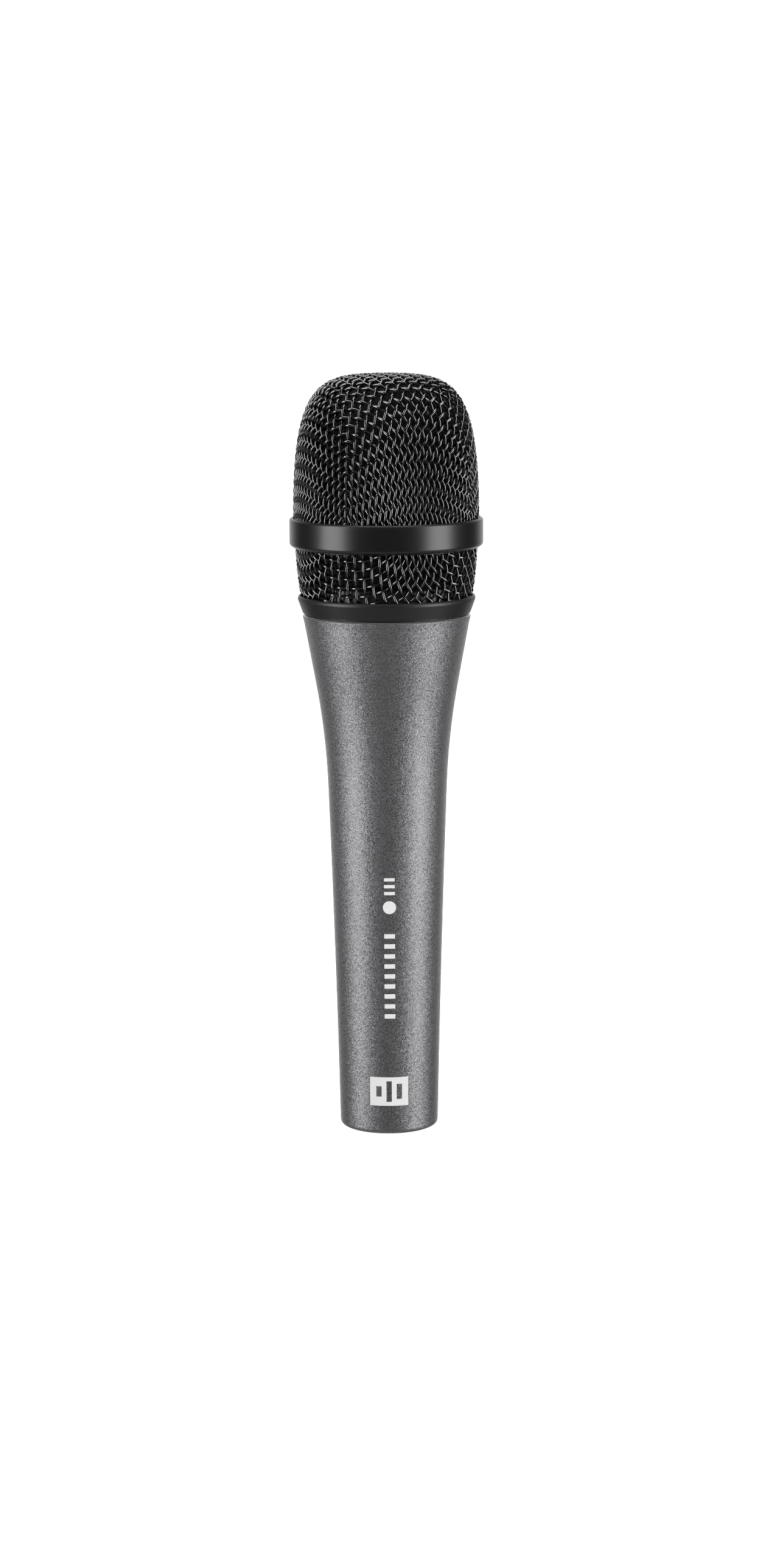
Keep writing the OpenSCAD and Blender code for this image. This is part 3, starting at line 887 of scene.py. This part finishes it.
def lead(guide, radius):
    """(points, quads, caps) of a round lead along a cubic curve with four guide points."""
    path = bezier(*guide, 60)
    along = np.gradient(path, axis=0)
    across = np.cross(along, [0.31, 0.95, 0])
    across /= np.linalg.norm(across, axis=1)[:, None]
    return tube(path, across, radius, 12)


def joined(name, parts):
    """One object from several (points, quads, caps)."""
    points, quads, caps, count = [], [], [], 0
    for p, q, c in parts:
        points.append(p)
        quads.append(q + count)
        caps.extend(cap + count for cap in c)
        count += len(p)
    return new_object(name, mesh_from_arrays(name, np.vstack(points), np.vstack(quads), caps))


def capsule_wires():
    """The two leads up to the capsule, not attached to a body."""
    wire_r, parts = 0.5 * MM, []
    for side in (-1, 1):
        end = np.array([2.8 * side, -4.1, 63.95]) * MM
        tag = np.array([3.5 * side, -0.6, 98.8]) * MM
        up_from_end = np.array([1.5 * side, -1, 14]) * MM
        down_from_tag = np.array([-2 * side, 2, 14]) * MM
        guide = (end, end + up_from_end, tag - down_from_tag, tag)
        parts.append(lead(guide, wire_r))
    piece = joined("capsule_wires", parts)
    stand_in(piece, "capsule_leads", rides=False)
    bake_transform(piece)


# ---------------------------------------------------------------- floor, lights and camera

def studio():
    """A white room with a tall soft box at each side, one above, and a fill that gloss doesn't show."""
    bpy.context.scene.view_settings.view_transform = "Standard"
    white_floor()
    studio_world()
    for name, azimuth in (("left_box", -66), ("right_box", 65)):
        area_light(name, azimuth, height=0.2, distance=0.9, size=(0.5, 1.1), power=8.5)
    area_light("top_box", azimuth=180, height=1.1, distance=0.1, size=(0.7, 0.7), power=7.0)
    area_light("fill", azimuth=0, height=0.5, distance=1.2, size=(0.5, 0.5), power=5.0, glossy=False)


def white_floor():
    """A pale floor that glows a little, as a lit table does, and that the glossy parts don't mirror."""
    half = 3.0
    mesh = bpy.data.meshes.new("floor")
    corners = [(-half, -half, 0), (half, -half, 0), (half, half, 0), (-half, half, 0)]
    mesh.from_pydata(corners, [], [(0, 1, 2, 3)])
    floor = new_object("floor", mesh)
    paper = Shader("floor_paper", Base_Color=grey(0.85), Roughness=0.9)
    paper.principled.inputs["Emission Color"].default_value = grey(1)
    paper.principled.inputs["Emission Strength"].default_value = 0.9
    floor.data.materials.append(paper.material)
    floor.visible_glossy = False
    floor.visible_diffuse = False


def studio_world():
    """White all round to the eye. It lights the object from behind and, as a table would, from below."""
    world = bpy.data.worlds.new("studio")
    bpy.context.scene.world = world
    world.use_nodes = True
    tree = world.node_tree
    coords = tree.nodes.new("ShaderNodeTexCoord")
    split = tree.nodes.new("ShaderNodeSeparateXYZ")
    tree.links.new(coords.outputs["Generated"], split.inputs[0])

    def ramp(axis, start, end, low, high):
        node = tree.nodes.new("ShaderNodeMapRange")
        tree.links.new(split.outputs[axis], node.inputs["Value"])
        for socket, value in (("From Min", start), ("From Max", end), ("To Min", low), ("To Max", high)):
            node.inputs[socket].default_value = value
        return node.outputs[0]

    def larger(a, b):
        node = tree.nodes.new("ShaderNodeMath")
        node.operation = "MAXIMUM"
        tree.links.new(a, node.inputs[0])
        tree.links.new(b, node.inputs[1])
        return node.outputs[0]

    light = larger(ramp("Y", 0.65, 0.97, 0.03, 1.0), ramp("Z", -0.4, -0.8, 0.04, 0.35))
    seen = tree.nodes.new("ShaderNodeLightPath").outputs["Is Camera Ray"]
    tree.links.new(larger(light, seen), tree.nodes["Background"].inputs["Strength"])
    tree.nodes["Background"].inputs["Color"].default_value = (1, 1, 1, 1)


def area_light(name, azimuth, height, distance, size, power, glossy=True):
    """A soft box at an azimuth seen from above, 0 in front of the object and 90 on its right."""
    light = bpy.data.lights.new(name, "AREA")
    light.shape = "RECTANGLE"
    light.size, light.size_y = size
    light.energy = power
    lamp = bpy.data.objects.new(name, light)
    bpy.context.scene.collection.objects.link(lamp)
    turn = math.radians(azimuth)
    place = Vector((distance * math.sin(turn), -distance * math.cos(turn), height))
    lamp.rotation_euler = (place - AIM).to_track_quat("Z", "Y").to_euler()
    lamp.location = place
    lamp.visible_glossy = glossy


def place_camera():
    """The camera, 0.84 m in front of the microphone and a little above its grille."""
    camera = bpy.data.objects.new("camera", bpy.data.cameras.new("camera"))
    bpy.context.scene.collection.objects.link(camera)
    bpy.context.scene.camera = camera
    camera.location = (0, -0.843, 0.2248)
    pitch, yaw, roll = math.radians(90 - 9.41), math.radians(-0.0733), math.radians(-0.284)
    look = Matrix.Rotation(yaw, 3, "Z") @ Matrix.Rotation(pitch, 3, "X") @ Matrix.Rotation(roll, 3, "Z")
    camera.rotation_euler = look.to_euler()
    camera.data.lens = 80.25
    camera.data.clip_start = 0.01


# ---------------------------------------------------------------- the scene

clear_scene()
place_camera()
studio()
paint_nodes()

dome = Form(dome_outline(WEAVE_HALF, DOME_END_Z), DOME_CENTRE_Z, 1)
dome_net = draw_net(dome, TOP_Z - WEAVE_HALF, lambda p: p[2] < 145.5 * MM)
dome_net = relax_net(dome, dome_net, rounds=2000, stiffness=0.12, edge_stiffness=crown_only)
build_grille("upper_mesh", dome, dome_net, UPPER_FOOT_Z, TOP_Z)

cup = Form(cup_outline(WEAVE_HALF, CUP_BASE_Z, CUP_CORNER, FORM_END_Z), CUP_CENTRE_Z, -1)
cup_net = draw_net(cup, CUP_BASE_Z, lambda p: p[2] > 148 * MM)
cup_net = relax_net(cup, cup_net, rounds=800, stiffness=0.03, edge_stiffness=np.ones_like)
wall = Form(cup_outline(WEAVE_HALF, WALL_BASE_Z, WALL_CORNER, FORM_END_Z), CUP_CENTRE_Z, -1)
build_grille("lower_mesh", wall, cup_net, LOWER_LOW.z + 0.2 * MM, LOWER_HIGH.z)

foam_basket()
foam_sleeve()
felt_washer()
cloth_band()
cloth_disc()
rubber_mount()
capsule_wires()
